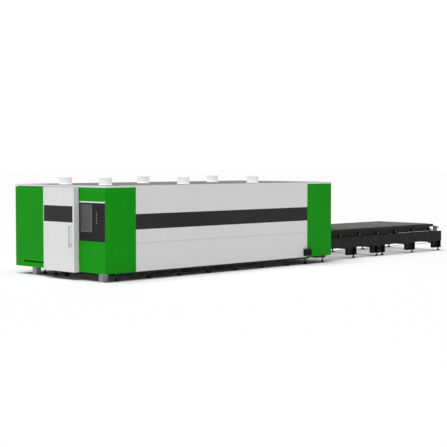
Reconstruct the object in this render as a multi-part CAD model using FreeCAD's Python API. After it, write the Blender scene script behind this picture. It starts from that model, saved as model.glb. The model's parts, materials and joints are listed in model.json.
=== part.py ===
import FreeCAD, Part
import os

from FreeCAD import Vector

# Fiber laser cutting machine: closed cutting cabin with a sliding front door, a cutting bed with
# a moving gantry and head, and an exchange table with two slatted pallets. Millimetres.
# Layout frame: x runs from the cabin's front face to the exchange table, y from the operator's long
# side to the rear, z up from the floor. The export moves the middle of the footprint to the origin.

# ---- cabin ----
cabin_length = 8100.0
cabin_depth = 3537.0
panel_bottom = 200.0
panel_top = 2200.0
sheet = 3.0            # thickness of the folded sheet covers
fold = 18.0            # depth of a cover's folded edge
seam = 4.0             # gap between neighbouring covers
console_side = 926.0   # console corner, along x
console_front = 960.0  # console corner, along y
column_side = 1010.0   # green column at the exchange end, along x
seam_height = 875.0    # joint between the lower and middle side covers
window_low = 1201.0
window_high = 1568.0
window_panes = 4
pane_thickness = 8.0
pane_recess = 3.0
trim_height = 43.0
trim_width = 40.0
roof_rise = 38.0       # roof surface above the covers
roof_panel_count = 3
roof_gap = 1.0
roof_hole_clearance = 2.0

# ---- cabin frame tubes ----
tube = 60.0
tube_wall = 4.0
frame_inset_front = 45.0
frame_inset_side = 35.0
post_stations = [1020.0, 2440.0, 4010.0, 5580.0, cabin_length - 990.0]
clip_width = 60.0       # clips that hold the covers' lower edges on the sill tubes
clip_height = 20.0
clip_overlap = 10.0
console_clips = [200.0, 700.0]
left_clips = [222.0, 822.0]     # from the left cover's near edge

# ---- extraction collars on the roof ----
collar_radius = 157.0
collar_height = 177.0
collar_wall = 3.0
collar_first_x = 820.0
collar_pitch_x = 2570.0
collar_count_x = 3
collar_offset_y = 990.0
collar_rim = 7.0
collar_rim_height = 22.0
collar_flange = 25.0

# ---- base frame and feet ----
base_bottom = 148.0
base_beam_width = 200.0
base_wall = 6.0
base_start = 350.0
base_end = cabin_length - 840.0
base_rows = [180.0, 2520.0, cabin_depth - 157.0]
station_first = 470.0
station_pitch = 1000.0
station_count = 7
last_station = base_end - 50.0
front_foot_rows = [2060.0, 2970.0]
column_foot_x = cabin_length - 230.0
column_foot_y = 120.0
column_plate_x = (cabin_length - 580.0, cabin_length - 190.0)
column_plate_y = (35.0, 280.0)
column_plate_thickness = 50.0
cross_width = 100.0
foot_radius = 65.0
foot_height = 34.0
foot_neck = 8.0         # the splayed base's top is this much wider than the stem
stem_radius = 20.0
nut_radius = 34.0
nut_height = 20.0
pedestal_size = 150.0
pedestal_flange = 195.0
pedestal_flange_thickness = 15.0
pedestals = [(150.0, 268.0), (150.0, 2870.0)]

# ---- cutting bed ----
pallet_centre_y = 1435.0
bed_start = 620.0
bed_end = cabin_length - 350.0
bed_top = 880.0
bed_wall = 10.0
bed_inner_y = 420.0
bed_width = 280.0
rail_end_gap = 30.0     # from the bed's end to the gantry's rails and racks
rail_y = 280.0
rail_width = 35.0
rail_height = 30.0
rack_y = 332.0
rack_width = 28.0
rack_height = 25.0
tray_count = 3
tray_start = 980.0
tray_length = 1930.0
tray_pitch = 1960.0
tray_height = 90.0
tray_wall = 4.0
tray_side_gap = 60.0

# ---- tracks, table and pallets ----
track_upper = 630.0
track_lower = 346.0
track_bar_height = 16.0
track_bar_width = 48.0
track_bar_reach = 2.0   # the bar starts this far outside the wheel
channel_plate = 10.0
channel_flange = 80.0
channel_bottom = 320.0
track_leg = 60.0
end_beam_height = 150.0
frame_wall = 5.0        # wall of the table's cross tubes
table_end = cabin_length + 5970.0
wheel_radius = 50.0
wheel_width = 38.0
wheel_gap_y = 20.0
wheel_lift = 0.4       # running clearance between wheel and track
wheel_first = 100.0
wheel_pitch = 881.0
wheel_count = 8
axle_radius = 15.0
axle_length = 12.0
hub_radius = 23.0
hub_depth = 4.0
pallet_x = cabin_length - 900.0
pallet_length = 6320.0
pallet_travel = 6250.0
pallet_top_over_track = 245.0
opening_headroom = 85.0
slat_height = 100.0
slat_thickness = 4.0
slat_pitch = 80.0
slat_first = 45.0
slat_count = 78
comb_thickness = 6.0
comb_height = 78.0
pallet_rail_width = 50.0
pallet_rail_height = 141.0
pallet_tube_wall = 4.0
pallet_cross_width = 50.0
pallet_cross_height = 60.0
comb_inset = 15.0       # from the bed's or table's inner face to the comb
comb_start = 20.0
comb_overhang = 115.0   # the comb plate runs past the side rail
comb_shelf = 3.0
slat_seat_gap = 0.5     # slats to comb
hook_length = 100.0
hook_height = 55.0
hook_width = 60.0
hook_overlap = 10.0
hook_drop = 15.0
comb_overlap = 5.0

# ---- table supports ----
# each leg's start, end and foot, measured from the cabin's exchange end
leg_spans = [(1270.0, 1680.0, 1590.0), (2420.0, 2725.0, 2700.0), (2735.0, 3040.0, 2965.0),
             (4130.0, 4560.0, 4475.0), (5530.0, 5950.0, 5865.0)]
leg_bottom = 95.0
leg_depth = 100.0
leg_wall = 8.0
leg_plate = 12.0
leg_plate_side = 4.0
leg_plate_front = 8.0
table_cross_height = 65.0
table_cross_width = 80.0
stop_x = cabin_length + 5600.0
stop_length = 150.0
stop_height = 175.0
stop_catch = 240.0      # reach of the catch at the stop's outer side
stop_catch_low = 95.0
stop_catch_high = 130.0
stop_slope_start = 55.0
absorber_radius = 20.0
absorber_length = 140.0
absorber_height = 41.0  # its centre line over the channel
stop_inset = 15.0
stop_width = 50.0
stop_foot_reach = 40.0
stop_foot_width = 60.0
stop_foot_plate = 10.0
stop_track_gap = 50.0   # the track bars end this far before the stops

# ---- exchange drive ----
drive_x = cabin_length - 1040.0
idler_x = cabin_length + 5460.0
sprocket_z = 290.0
chain_pitch_radius = 45.0
chain_width = 14.0
chain_half = 7.0        # half the chain's height
sprocket_gap = 0.5
chain_y = 540.0
shaft_radius = 20.0
shaft_clearance = 0.5
gearbox_width = 240.0
gearbox_low = 240.0
gearbox_high = 420.0
gearbox_reach = 100.0
gearbox_chamfer = 12.0
hanger_width = 90.0
hanger_thickness = 12.0
hanger_drop = 45.0
hanger_inset = 50.0
idler_end_inset = 45.0

# ---- gantry, carriage and head ----
gantry_x = 1300.0
beam_width = 300.0
beam_low = 1120.0
beam_height = 360.0
beam_wall = 12.0
beam_overhang = 100.0
block_length = 550.0
block_width = 96.0
guide_gap = 0.4
block_bed_gap = 6.0
beam_rail_height = 15.0
beam_rail_width = 30.0
beam_rail_inset = 70.0
pinion_radius = 34.0
pinion_height = 24.0
pinion_rack_gap = 1.0
pinion_bed_gap = 0.5
pinion_shaft_radius = 12.0
gear_case_low = 40.0    # over the bed
gear_case_height = 60.0
motor_bracket_low = 20.0
motor_bracket_height = 40.0
motor_beam_gap = 12.0
motor_radius = 55.0
motor_height = 240.0
carriage_y = 430.0
carriage_width = 260.0
carriage_thickness = 30.0
carriage_shelf_gap = 10.0
carriage_shelf_thickness = 15.0
carriage_shelf_reach = 80.0
carriage_foot = 35.0    # plate below its lower rail
spindle_motor_size = 110.0
spindle_motor_height = 170.0
slide_gap = 0.5
slide_width = 140.0
slide_thickness = 28.0
slide_foot = 110.0      # its lower end over the nozzle's tip
head_offset = 290.0
nozzle_tip = 1040.0
nozzle_length = 50.0
head_width = 120.0
head_neck = 90.0
head_height = 240.0
head_neck_step = 12.0
fibre_radius = 24.0
fibre_length = 90.0
nozzle_tip_radius = 6.0
nozzle_top_radius = 26.0
nozzle_bore_radius = 1.5

# ---- console face ----
console_margin_near = 8.0
console_margin_far = 10.0
console_low = 940.0
console_high = 1838.0
console_depth = 40.0
console_lip = 4.0
display_y = (488.0, 907.0)
display_z = (1160.0, 1800.0)
strip_z = (1845.0, 1875.0)
strip_thickness = 4.0
display_depth = 30.0
display_bezel = 6.0
button_y = 310.0
stop_button_z = 1672.0
button_pitch = 60.0
button_count = 5
button_radius = 11.0
button_stem_radius = 8.0
button_clearance = 0.5
button_travel = 4.0
button_proud = 10.0
button_gap = 0.6        # left under a pressed cap
button_stem_depth = 20.0
bezel_rim = 5.0
bezel_depth = 5.0
bezel_floor = 0.1
stop_button_radius = 20.0
stop_button_travel = 6.0
stop_button_height = 14.0
stop_button_fillet = 4.0
stop_bezel_rim = 9.0
stop_bezel_depth = 4.0
stop_stem_depth = 21.0
lamp_y = 175.0
lamp_count = 4
lamp_radius = 9.0
lamp_length = 26.0
lamp_rim = 2.0
lamp_proud = 4.0
knob_y = 723.0
knob_z = 1120.0
knob_radius = 18.0
knob_gap = 0.6
knob_depth = 18.0
knob_grip = 8.0
knob_grip_height = 7.4
knob_stem_depth = 25.0

# ---- door ----
door_start = 973.0
door_width = 1201.0
door_depth = 142.0
door_gap = 8.0
door_bottom = 190.0
door_top = 2195.0
left_cover_drop = 12.0  # the door's upper guide arm passes over the cover
door_travel = 1020.0
door_window_y = (1030.0, 2155.0)
door_window_z = (1368.0, 1755.0)
handle_y = 1100.0
handle_z = (775.0, 1287.0)
handle_radius = 14.0
handle_standoff = 60.0
handle_arm_radius = 10.0
handle_arm_inset = 30.0
lock_y = 1087.0
lock_z = 850.0
lock_radius = 14.0
lock_depth = 8.0
slot_z = (317.0, 349.0)
slot_margin = 23.0      # the slot runs on past the guide arm's last place
guide_width = 60.0
door_rail_depth = 25.0

# ---- cabinets at the rear ----
cabinet_y = (cabin_depth - 737.0, cabin_depth - 107.0)
cabinet_door_thickness = 12.0
cabinet_door_margin = 15.0
cabinet_plinth = 100.0
laser_x = (1000.0, 2050.0)
laser_height = 1300.0
electric_x = (2300.0, 4300.0)
electric_height = 1750.0

# ---- worked out from the values above ----
sill_top = panel_bottom + tube
side_cover_low = panel_bottom + 3.0
header_low = panel_top - tube
wall_start = console_side + seam
wall_end = cabin_length - column_side - seam
bed_far_y = 2 * pallet_centre_y - bed_inner_y
opening_top = track_upper + pallet_top_over_track + opening_headroom
roof_top = panel_top + roof_rise
opening_near = bed_inner_y - 20.0
opening_far = bed_far_y + 20.0
opening_post_gap = 30.0


def box(x0, x1, y0, y1, z0, z1):
    return Part.makeBox(x1 - x0, y1 - y0, z1 - z0, Vector(x0, y0, z0))


def rod(radius, length, start, along):
    return Part.makeCylinder(radius, length, Vector(*start), Vector(*along))


def cone(low_radius, high_radius, height, start):
    return Part.makeCone(low_radius, high_radius, height, Vector(*start), Vector(0, 0, 1))


def tube_along(axis, x0, x1, y0, y1, z0, z1, wall):
    """A rectangular tube, open at both ends along the named axis."""
    low = [x0 + wall, y0 + wall, z0 + wall]
    high = [x1 - wall, y1 - wall, z1 - wall]
    index = "xyz".index(axis)
    low[index] = (x0, y0, z0)[index] - 1
    high[index] = (x1, y1, z1)[index] + 1
    hollow = box(low[0], high[0], low[1], high[1], low[2], high[2])
    return box(x0, x1, y0, y1, z0, z1).cut(hollow)


def across_pallet(shape):
    """The same piece on the other side of the pallets' centre line."""
    return shape.mirror(Vector(0, pallet_centre_y, 0), Vector(0, 1, 0))


def across_cabin(shape):
    """The same piece on the cabin's rear side."""
    return shape.mirror(Vector(0, cabin_depth / 2, 0), Vector(0, 1, 0))


def joined(shapes):
    whole = shapes[0]
    if len(shapes) > 1:
        whole = whole.fuse(shapes[1:])
    return whole.removeSplitter()


def tray_y(x0, x1, z0, z1, y=0.0):
    """A folded cover on the operator's side: its face at y, its edges folded towards +y."""
    outer = box(x0, x1, y, y + fold, z0, z1)
    return outer.cut(box(x0 + sheet, x1 - sheet, y + sheet, y + fold + 1, z0 + sheet, z1 - sheet))


def tray_x(y0, y1, z0, z1, x, inward):
    """A folded cover in a plane of constant x: its edges folded towards inward (+1 or -1)."""
    outer = box(min(x, x + inward * fold), max(x, x + inward * fold), y0, y1, z0, z1)
    face = x + inward * sheet
    end = x + inward * (fold + 1)
    return outer.cut(box(min(face, end), max(face, end), y0 + sheet, y1 - sheet, z0 + sheet, z1 - sheet))


# ---- base, feet and bed ----
def stations():
    return [station_first + station_pitch * k for k in range(station_count)]


def foot(x, y, top):
    """A levelling foot: splayed base, threaded stem and lock nut, its top end at the given height."""
    base = cone(foot_radius, stem_radius + foot_neck, foot_height, (x, y, 0))
    stem = rod(stem_radius, top - foot_height, (x, y, foot_height), (0, 0, 1))
    nut = rod(nut_radius, nut_height, (x, y, top - nut_height), (0, 0, 1))
    return joined([base, stem, nut])


def base_frame():
    tubes = []
    half = base_beam_width / 2
    for y in base_rows:
        tubes.append(tube_along("x", base_start, base_end, y - half, y + half,
                                base_bottom, panel_bottom, base_wall))
    for x in stations():
        for low, high in zip(base_rows, base_rows[1:]):
            tubes.append(tube_along("y", x - cross_width / 2, x + cross_width / 2, low + half, high - half,
                                    base_bottom, panel_bottom, base_wall))
    x0, x1 = column_plate_x
    y0, y1 = column_plate_y
    near = box(x0, x1, y0, y1, panel_bottom - column_plate_thickness, panel_bottom)
    tubes += [near, across_cabin(near)]
    return tubes


def machine_feet():
    feet = [foot(x, y, base_bottom) for y in base_rows for x in stations() + [last_station]]
    feet += [foot(station_first, y, base_bottom) for y in front_foot_rows]
    plate_low = panel_bottom - column_plate_thickness
    near = foot(column_foot_x, column_foot_y, plate_low)
    return feet + [near, across_cabin(near)]


def front_pedestals():
    out = []
    for x, y in pedestals:
        a = pedestal_size / 2
        b = pedestal_flange / 2
        body = box(x - a, x + a, y - a, y + a, pedestal_flange_thickness, panel_bottom)
        out.append(joined([body, box(x - b, x + b, y - b, y + b, 0, pedestal_flange_thickness)]))
    return out


def bed_sides():
    near = tube_along("x", bed_start, bed_end, bed_inner_y - bed_width, bed_inner_y,
                      panel_bottom, bed_top, bed_wall)
    far = across_pallet(near)
    bore = rod(shaft_radius + shaft_clearance, cabin_depth, (drive_x, 0, sprocket_z), (0, 1, 0))
    far_bore = rod(shaft_radius + shaft_clearance, bed_wall + 2,
                   (drive_x, bed_far_y - 1, sprocket_z), (0, 1, 0))
    return [near.cut(bore), far.cut(far_bore)]


def track_angle(top, start, end):
    """One pallet track: an angle on the bed's inner wall with a flat bar for the wheels on it."""
    ledge_top = top - track_bar_height
    y = bed_inner_y
    ledge = box(start, end, y, y + channel_flange, ledge_top - channel_plate, ledge_top)
    leg = box(start, end, y, y + channel_plate, ledge_top - track_leg, ledge_top)
    bar = box(start, end, bar_y(), bar_y() + track_bar_width, ledge_top, top)
    return joined([ledge, leg, bar])


def bed_tracks():
    start = pallet_x - pallet_travel - 20
    bore = rod(shaft_radius + shaft_clearance, channel_flange,
               (drive_x, bed_inner_y - 1, sprocket_z), (0, 1, 0))
    near = [track_angle(z, start, bed_end).cut(bore) for z in (track_upper, track_lower)]
    return near + [across_pallet(s) for s in near]


def gantry_rails():
    near = box(bed_start + rail_end_gap, bed_end - rail_end_gap, rail_y - rail_width / 2,
               rail_y + rail_width / 2, bed_top, bed_top + rail_height)
    return [near, across_pallet(near)]


def gear_racks():
    near = box(bed_start + rail_end_gap, bed_end - rail_end_gap, rack_y, rack_y + rack_width,
               bed_top, bed_top + rack_height)
    return [near, across_pallet(near)]


def scrap_trays():
    trays = []
    for k in range(tray_count):
        x = tray_start + tray_pitch * k
        y = bed_inner_y + tray_side_gap
        far = 2 * pallet_centre_y - y
        outer = box(x, x + tray_length, y, far, panel_bottom, panel_bottom + tray_height)
        inner = box(x + tray_wall, x + tray_length - tray_wall, y + tray_wall, far - tray_wall,
                    panel_bottom + tray_wall, panel_bottom + tray_height + 1)
        trays.append(outer.cut(inner))
    return trays


# ---- cabin ----
def posts():
    front = frame_inset_front
    side = frame_inset_side
    last = cabin_length - front - tube
    rear = cabin_depth - side - tube
    out = []
    for x in [front] + post_stations + [last]:
        for y in (side, rear):
            out.append((x, y))
    for y in (console_front - tube, door_start + door_width + seam):
        out.append((front, y))
    for y in (bed_inner_y - tube - opening_post_gap, bed_far_y + opening_post_gap):
        out.append((last, y))
    return out


def cabin_frame():
    front = frame_inset_front
    side = frame_inset_side
    last = cabin_length - front - tube
    rear = cabin_depth - side - tube
    members = [tube_along("z", x, x + tube, y, y + tube, sill_top, header_low, tube_wall) for x, y in posts()]
    for z in (panel_bottom, header_low):
        for y in (side, rear):
            members.append(tube_along("x", front, last + tube, y, y + tube, z, z + tube, tube_wall))
        members.append(tube_along("y", front, front + tube, side + tube, rear, z, z + tube, tube_wall))
    members.append(tube_along("y", last, last + tube, side + tube, rear, header_low, panel_top, tube_wall))
    for x in post_stations:
        members.append(tube_along("y", x, x + tube, side + tube, rear, header_low, panel_top, tube_wall))
    members.append(tube_along("y", last, last + tube, side + tube, bed_inner_y - opening_post_gap,
                              panel_bottom, sill_top, tube_wall))
    members.append(tube_along("y", last, last + tube, bed_far_y + opening_post_gap, rear,
                              panel_bottom, sill_top, tube_wall))
    return members + cover_clips()


def cover_clips():
    clips = []
    low = panel_bottom + sheet
    left_start = door_start + door_width + seam
    for y in console_clips + [left_start + place for place in left_clips]:
        clips.append(box(fold - clip_overlap, frame_inset_front, y, y + clip_width, low, low + clip_height))
    low = side_cover_low + sheet
    for x in post_stations[1:-1]:
        clips.append(box(x, x + clip_width, fold - clip_overlap, frame_inset_side, low, low + clip_height))
    return clips


def corner_cover(x_end, y_end, low, high):
    """A cover folded round the cabin's front near corner, with its free edges folded inwards."""
    side = box(0, x_end, 0, sheet, low, high)
    front = box(0, sheet, 0, y_end, low, high)
    edges = [box(x_end - sheet, x_end, 0, fold, low, high), box(0, fold, y_end - sheet, y_end, low, high)]
    for z in (low, high - sheet):
        edges.append(box(0, x_end, 0, fold, z, z + sheet))
        edges.append(box(0, fold, 0, y_end, z, z + sheet))
    return joined([side, front] + edges)


def console_cover():
    cover = corner_cover(console_side, console_front, panel_bottom, panel_top)
    window = box(-1, sheet + 1, console_margin_near, console_front - console_margin_far,
                 console_low, console_high)
    return [cover.cut(window)]


def left_cover():
    start = door_start + door_width + seam
    low_top = door_top - left_cover_drop
    front = tray_x(start, cabin_depth, panel_bottom, low_top, 0, 1)
    slot_end = guide_start() + guide_width + door_travel + slot_margin
    slot = box(-1, sheet + 1, start - 1, slot_end, slot_z[0], slot_z[1])
    edge = box(-1, fold + 1, start - 1, start + sheet + 1, slot_z[0], slot_z[1])
    wrap = across_cabin(box(0, console_side, 0, sheet, panel_bottom, low_top))
    wrap_edge = across_cabin(box(console_side - sheet, console_side, 0, fold, panel_bottom, low_top))
    return [joined([front.cut(slot).cut(edge), wrap, wrap_edge])]


def side_panels():
    gearbox = box(drive_x - gearbox_width / 2 - seam, cabin_length, -1, fold + 1,
                  gearbox_low - seam, gearbox_high + seam)
    bands = [(side_cover_low, seam_height - seam / 2), (seam_height + seam / 2, window_low),
             (window_high, panel_top)]
    trays = [tray_y(wall_start, wall_end, low, high) for low, high in bands]
    return [trays[0].cut(gearbox)] + trays[1:]


def side_windows():
    pitch = (wall_end - wall_start) / window_panes
    panes = []
    for k in range(window_panes):
        x = wall_start + pitch * k
        panes.append(box(x, x + pitch - sheet, pane_recess, pane_recess + pane_thickness,
                         window_low, window_high))
    return panes


def end_column_covers():
    start = cabin_length - column_side
    gearbox = box(start - 1, drive_x + gearbox_width / 2 + seam, -1, fold + 1,
                  gearbox_low - seam, gearbox_high + seam)

    def column(end_width, low, high):
        side = box(start, cabin_length, 0, sheet, low, high)
        face = box(cabin_length - sheet, cabin_length, 0, end_width, low, high)
        edges = [box(start, start + sheet, 0, fold, low, high),
                 box(cabin_length - fold, cabin_length, end_width - sheet, end_width, low, high)]
        for z in (low, high - sheet):
            edges.append(box(start, cabin_length, 0, fold, z, z + sheet))
            edges.append(box(cabin_length - fold, cabin_length, 0, end_width, z, z + sheet))
        return joined([side, face] + edges)

    near = column(opening_near, panel_bottom, panel_top).cut(gearbox)
    far = across_cabin(column(cabin_depth - opening_far, panel_bottom, panel_top))
    return [near, far]


def end_header():
    return [tray_x(opening_near + seam, opening_far - seam, opening_top, panel_top, cabin_length, -1)]


def rear_panels():
    pitch = (wall_end - wall_start) / window_panes
    trays = []
    for k in range(window_panes):
        x = wall_start + pitch * k
        trays.append(across_cabin(tray_y(x, x + pitch - seam, side_cover_low, panel_top)))
    return trays


def collar_centres():
    near = collar_offset_y
    far = cabin_depth - collar_offset_y
    return [(collar_first_x + collar_pitch_x * k, y) for k in range(collar_count_x) for y in (near, far)]


def roof_panels():
    inset = trim_width + roof_gap
    pitch = (cabin_length - 2 * inset) / roof_panel_count
    hole = collar_radius - collar_wall + roof_hole_clearance
    sheets = []
    for k in range(roof_panel_count):
        x0 = inset + pitch * k
        x1 = x0 + pitch - 2 * roof_gap
        outer = box(x0, x1, inset, cabin_depth - inset, panel_top, roof_top)
        panel = outer.cut(box(x0 + sheet, x1 - sheet, inset + sheet, cabin_depth - inset - sheet,
                              panel_top - 1, roof_top - sheet))
        for x, y in collar_centres():
            if x0 - hole < x < x1 + hole:
                panel = panel.cut(rod(hole, trim_height, (x, y, panel_top), (0, 0, 1)))
        sheets.append(panel)
    return sheets


def roof_trim():
    z0 = panel_top
    z1 = panel_top + trim_height
    w = trim_width
    return [box(0, cabin_length, 0, w, z0, z1),
            box(0, cabin_length, cabin_depth - w, cabin_depth, z0, z1),
            box(0, w, w, cabin_depth - w, z0, z1),
            box(cabin_length - w, cabin_length, w, cabin_depth - w, z0, z1)]


def duct_collars():
    collars = []
    inner = collar_radius - collar_wall
    for x, y in collar_centres():
        wall = rod(collar_radius, collar_height, (x, y, roof_top), (0, 0, 1))
        flange = rod(collar_radius + collar_flange, sheet, (x, y, roof_top), (0, 0, 1))
        rim = rod(collar_radius + collar_rim, collar_rim_height,
                  (x, y, roof_top + collar_height - collar_rim_height), (0, 0, 1))
        bore = rod(inner, collar_height + 2, (x, y, roof_top - 1), (0, 0, 1))
        collars.append(joined([wall, flange, rim]).cut(bore))
    return collars


# ---- console face ----
def button_heights():
    return [stop_button_z - button_pitch * (k + 1) for k in range(button_count)]


def lamp_heights():
    return [stop_button_z - button_pitch * (k + 1) for k in range(lamp_count)]


def console_panel():
    y0 = console_margin_near
    y1 = console_front - console_margin_far
    face = box(0, console_depth, y0, y1, console_low, console_high)
    lip = box(sheet, 2 * sheet, y0 - console_lip, y1 + console_margin_far - 2 * sheet,
              console_low - console_lip, console_high + console_lip)
    hollow = box(2 * sheet, console_depth + 1, y0 + sheet, y1 - sheet,
                 console_low + sheet, console_high - sheet)
    bezels = [rod(button_radius + bezel_rim, bezel_depth, (-bezel_depth, button_y, z), (1, 0, 0))
              for z in button_heights()]
    bezels.append(rod(button_stem_radius + stop_bezel_rim, stop_bezel_depth,
                      (-stop_bezel_depth, button_y, stop_button_z), (1, 0, 0)))
    panel = joined([face.cut(hollow), lip.cut(hollow)] + bezels)
    start = -bezel_depth - 1
    stem_hole = button_stem_radius + button_clearance
    cap_hole = button_radius + button_clearance
    holes = [rod(cap_hole, bezel_depth + 1 - bezel_floor, (start, button_y, z), (1, 0, 0))
             for z in button_heights()]
    holes += [rod(stem_hole, console_depth, (start, button_y, z), (1, 0, 0))
              for z in button_heights() + [stop_button_z]]
    holes.append(rod(stem_hole, console_depth, (start, knob_y, knob_z), (1, 0, 0)))
    holes += [rod(lamp_radius, console_depth, (start, lamp_y, z), (1, 0, 0)) for z in lamp_heights()]
    holes.append(box(-1, console_depth, display_y[0], display_y[1], display_z[0], display_z[1]))
    for hole in holes:
        panel = panel.cut(hole)
    return [panel]


def display():
    case = box(0, display_depth, display_y[0], display_y[1], display_z[0], display_z[1])
    bezel = box(-sheet, 0, display_y[0] - display_bezel, display_y[1] + display_bezel,
                display_z[0] - display_bezel, display_z[1] + display_bezel)
    return [joined([case, bezel])]


def light_strip():
    return [box(-strip_thickness, 0, console_margin_far, console_front - console_margin_far,
                strip_z[0], strip_z[1])]


def indicator_lamps():
    lamps = []
    for z in lamp_heights():
        barrel = rod(lamp_radius, lamp_length, (0, lamp_y, z), (1, 0, 0))
        lens = rod(lamp_radius + lamp_rim, lamp_proud, (-lamp_proud, lamp_y, z), (1, 0, 0))
        lamps.append(joined([barrel, lens]))
    return lamps


def panel_button(z):
    """A push button out of its travel: a cap that clears the panel's face when pressed, and its stem."""
    cap = rod(button_radius, button_proud - button_travel - button_gap, (-button_proud, button_y, z), (1, 0, 0))
    stem = rod(button_stem_radius, button_proud + button_stem_depth, (-button_proud, button_y, z), (1, 0, 0))
    return [joined([cap, stem])]


def emergency_stop():
    z = stop_button_z
    reach = stop_bezel_depth + button_gap + stop_button_travel
    front = -reach - stop_button_height
    head = rod(stop_button_radius, stop_button_height, (front, button_y, z), (1, 0, 0))
    rim = [e for e in head.Edges if e.BoundBox.XMax < front + 0.1]
    head = head.makeFillet(stop_button_fillet, rim)
    stem = rod(button_stem_radius, reach + stop_stem_depth, (-reach - 1, button_y, z), (1, 0, 0))
    return [joined([head, stem])]


def selector_knob():
    half = knob_radius - 2
    body = rod(knob_radius, knob_depth, (-knob_gap - knob_depth, knob_y, knob_z), (1, 0, 0))
    grip = box(-knob_gap - knob_depth - knob_grip_height, -knob_gap - 1, knob_y - knob_grip / 2,
               knob_y + knob_grip / 2, knob_z - half, knob_z + half)
    stem = rod(button_stem_radius, knob_stem_depth + 1, (-1, knob_y, knob_z), (1, 0, 0))
    return [joined([body, grip, stem])]


# ---- door ----
def door_end():
    return door_start + door_width


def door_leaf():
    back = -door_gap
    front = back - door_depth
    y0 = door_start
    y1 = door_end()
    wy = door_window_y
    wz = door_window_z
    outer = box(front, back, y0, y1, door_bottom, door_top)
    inner = box(front + sheet, back - sheet, y0 + sheet, y1 - sheet, door_bottom - 1, door_top - sheet)
    frame = box(front + sheet, back - sheet, wy[0] - sheet, wy[1] + sheet, wz[0] - sheet, wz[1] + sheet)
    window = box(front - 1, back + 1, wy[0], wy[1], wz[0], wz[1])
    return [joined([outer.cut(inner), frame]).cut(window)]


def door_window():
    front = -door_gap - door_depth
    return [box(front + 2, front + 2 + pane_thickness, door_window_y[0], door_window_y[1],
                door_window_z[0], door_window_z[1])]


def door_handle():
    axis_x = -door_gap - door_depth - handle_standoff
    bar = rod(handle_radius, handle_z[1] - handle_z[0], (axis_x, handle_y, handle_z[0]), (0, 0, 1))
    arms = [rod(handle_arm_radius, handle_standoff, (axis_x, handle_y, z), (1, 0, 0))
            for z in (handle_z[0] + handle_arm_inset, handle_z[1] - handle_arm_inset)]
    return [joined([bar] + arms)]


def door_lock():
    face = -door_gap - door_depth
    return [rod(lock_radius, lock_depth, (face - lock_depth, lock_y, lock_z), (1, 0, 0))]


def guide_start():
    """The near edge of the guide arms, which run at the door's far end."""
    return door_end() - guide_width - 20


def rail_ends():
    return guide_start() - 30, guide_start() + guide_width + door_travel + 20


def door_rails():
    y0, y1 = rail_ends()
    x0 = frame_inset_front - door_rail_depth
    low = box(x0, frame_inset_front, y0, y1, sill_top - 30, slot_z[0] + 1)
    high = box(x0, frame_inset_front, y0, y1, header_low, header_low + 30)
    return [low, high]


def door_carriages():
    y0 = guide_start()
    y1 = y0 + guide_width
    low_z = slot_z[0] + 1.5
    low = box(-door_gap, frame_inset_front - 3, y0, y1, low_z, slot_z[1] - 4)
    high_z = door_top - 9
    arm = box(-door_gap, frame_inset_front - 3, y0, y1, high_z, door_top)
    leg = box(frame_inset_front - 23, frame_inset_front - 3, y0, y1, header_low + 30.5, high_z)
    return [low, joined([arm, leg])]


# ---- cabinets ----
def cabinet(x, height):
    front = cabinet_y[0]
    margin = cabinet_door_margin
    shell = box(x[0], x[1], front, cabinet_y[1], panel_bottom, panel_bottom + height)
    door = box(x[0] + margin, x[1] - margin, front - cabinet_door_thickness, front,
               panel_bottom + cabinet_plinth, panel_bottom + height - margin)
    return [joined([shell, door])]


def laser_source():
    return cabinet(laser_x, laser_height)


def electrical_cabinet():
    return cabinet(electric_x, electric_height)


# ---- gantry, carriage and head ----
def gantry_beam():
    x0 = gantry_x - beam_width / 2
    near = rail_y - beam_overhang
    far = 2 * pallet_centre_y - near
    return [tube_along("y", x0, x0 + beam_width, near, far, beam_low, beam_low + beam_height, beam_wall)]


def beam_rail_heights():
    return beam_low + beam_rail_inset, beam_low + beam_height - beam_rail_inset


def beam_rails():
    x1 = gantry_x - beam_width / 2
    near = rail_y
    far = 2 * pallet_centre_y - near
    half = beam_rail_width / 2
    return [box(x1 - beam_rail_height, x1, near, far, z - half, z + half) for z in beam_rail_heights()]


def gantry_end_blocks():
    x0 = gantry_x - block_length / 2
    x1 = gantry_x + block_length / 2
    y0 = rail_y - block_width / 2
    block = box(x0, x1, y0, y0 + block_width, bed_top + block_bed_gap, beam_low)
    clear = rail_width / 2 + guide_gap
    groove = box(x0 - 1, x1 + 1, rail_y - clear, rail_y + clear, bed_top, bed_top + rail_height + guide_gap)
    near = block.cut(groove)
    return [near, across_pallet(near)]


def gantry_motors():
    """Each drive: a bracket on the beam, a motor, its gear case and the pinion beside the rack."""
    y = rack_y + rack_width + pinion_radius + pinion_rack_gap
    face = gantry_x + beam_width / 2
    x = face + motor_radius + motor_beam_gap
    case_low = bed_top + gear_case_low
    case_high = case_low + gear_case_height
    pinion = rod(pinion_radius, pinion_height, (x, y, bed_top + pinion_bed_gap), (0, 0, 1))
    shaft = rod(pinion_shaft_radius, gear_case_low, (x, y, bed_top + pinion_height), (0, 0, 1))
    case = rod(motor_radius, gear_case_height, (x, y, case_low), (0, 0, 1))
    motor = box(x - motor_radius, x + motor_radius, y - motor_radius, y + motor_radius,
                case_high, case_high + motor_height)
    bracket = box(face, x, rail_y, y, beam_low + motor_bracket_low,
                  beam_low + motor_bracket_low + motor_bracket_height)
    near = joined([pinion, shaft, case, motor, bracket])
    return [near, across_pallet(near)]


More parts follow.
